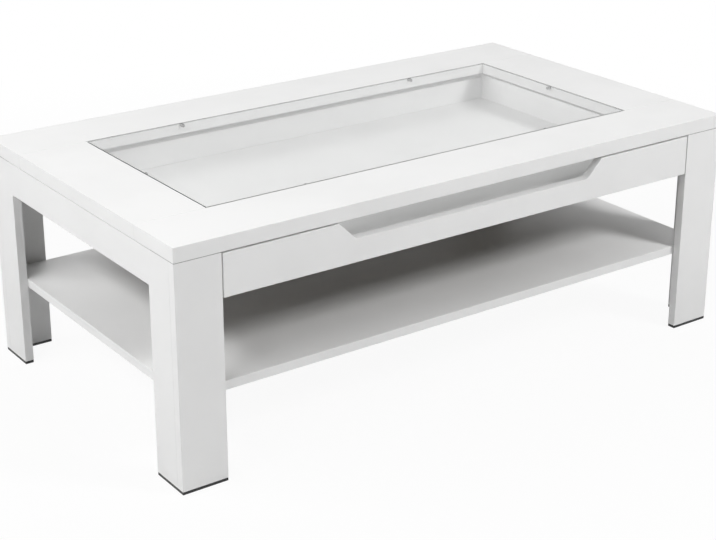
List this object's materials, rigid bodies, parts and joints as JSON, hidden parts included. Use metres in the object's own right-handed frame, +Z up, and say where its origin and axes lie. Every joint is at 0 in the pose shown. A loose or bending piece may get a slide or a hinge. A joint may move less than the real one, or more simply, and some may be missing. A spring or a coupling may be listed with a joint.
{
  "type": "display coffee table",
  "caption": "Low rectangular coffee table with a glass display top, a shallow notched display drawer on roller runners, a lower shelf and L-section board legs.",
  "frame": {"origin": "on the floor, under the middle of the top", "axes": "+X to the table's right along its length, +Y away from the drawer's front towards the back, +Z up"},
  "size_m": [1.15, 0.65, 0.41],
  "materials": {
    "lacquered_board": "satin white lacquer on fibreboard",
    "bottom_panel": "thin white laminated hardboard",
    "pane_glass": "clear polished safety glass",
    "pin_metal": "satin black",
    "glide_plastic": "matt black",
    "runner_steel": "white powder coat",
    "plated_steel": "bright zinc plate",
    "cast_zinc": "dull die-cast zinc",
    "roller_nylon": "smooth natural nylon",
    "beech": "bare fluted beech"
  },
  "bodies": {
    "table": {"top_front_board": "lacquered_board", "top_back_board": "lacquered_board", "top_left_board": "lacquered_board", "top_right_board": "lacquered_board", "glass_pane": "pane_glass", "glass_pins": "pin_metal", "side_panel_left": "lacquered_board", "side_panel_right": "lacquered_board", "leg_board_front_left": "lacquered_board", "leg_board_front_right": "lacquered_board", "leg_board_back_left": "lacquered_board", "leg_board_back_right": "lacquered_board", "back_apron": "lacquered_board", "shelf": "lacquered_board", "runner_board_left": "lacquered_board", "runner_board_right": "lacquered_board", "leg_glides": "glide_plastic", "top_brackets": "plated_steel", "bracket_screws": "plated_steel", "frame_dowels": "beech", "frame_cams": "cast_zinc", "frame_cam_bolts": "plated_steel", "cabinet_runner_left": "runner_steel", "cabinet_runner_right": "runner_steel", "cabinet_runner_screws": "plated_steel"},
    "drawer": {"drawer_front": "lacquered_board", "drawer_side_left": "lacquered_board", "drawer_side_right": "lacquered_board", "drawer_back": "lacquered_board", "drawer_bottom": "bottom_panel", "drawer_runner_left": "runner_steel", "drawer_runner_right": "runner_steel", "drawer_runner_screws": "plated_steel", "drawer_dowels": "beech", "drawer_cams": "cast_zinc", "drawer_cam_bolts": "plated_steel", "drawer_back_screws": "plated_steel", "drawer_bottom_screws": "plated_steel"},
    "cabinet_roller_left": {"cabinet_roller_left": "roller_nylon"},
    "cabinet_roller_right": {"cabinet_roller_right": "roller_nylon"},
    "drawer_roller_left": {"drawer_roller_left": "roller_nylon"},
    "drawer_roller_right": {"drawer_roller_right": "roller_nylon"}
  },
  "joints": [
    {"name": "drawer_slide", "type": "slide", "parent": "table", "child": "drawer", "axis": [0, -1, 0], "range_m": [0, 0.4]},
    {"name": "cabinet_roller_left_spin", "type": "hinge", "parent": "table", "child": "cabinet_roller_left", "pos_m": [-0.4865, -0.292, 0.3315], "axis": [1, 0, 0], "continuous": true},
    {"name": "cabinet_roller_right_spin", "type": "hinge", "parent": "table", "child": "cabinet_roller_right", "pos_m": [0.4865, -0.292, 0.3315], "axis": [1, 0, 0], "continuous": true},
    {"name": "drawer_roller_left_spin", "type": "hinge", "parent": "drawer", "child": "drawer_roller_left", "pos_m": [-0.4865, 0.227, 0.3315], "axis": [1, 0, 0], "continuous": true},
    {"name": "drawer_roller_right_spin", "type": "hinge", "parent": "drawer", "child": "drawer_roller_right", "pos_m": [0.4865, 0.227, 0.3315], "axis": [1, 0, 0], "continuous": true}
  ],
  "couplings": [
    {"joint": "cabinet_roller_left_spin", "follows": "drawer_slide", "rad_per_m": 90.909},
    {"joint": "cabinet_roller_right_spin", "follows": "drawer_slide", "rad_per_m": 90.909},
    {"joint": "drawer_roller_left_spin", "follows": "drawer_slide", "rad_per_m": 90.909},
    {"joint": "drawer_roller_right_spin", "follows": "drawer_slide", "rad_per_m": 90.909}
  ]
}
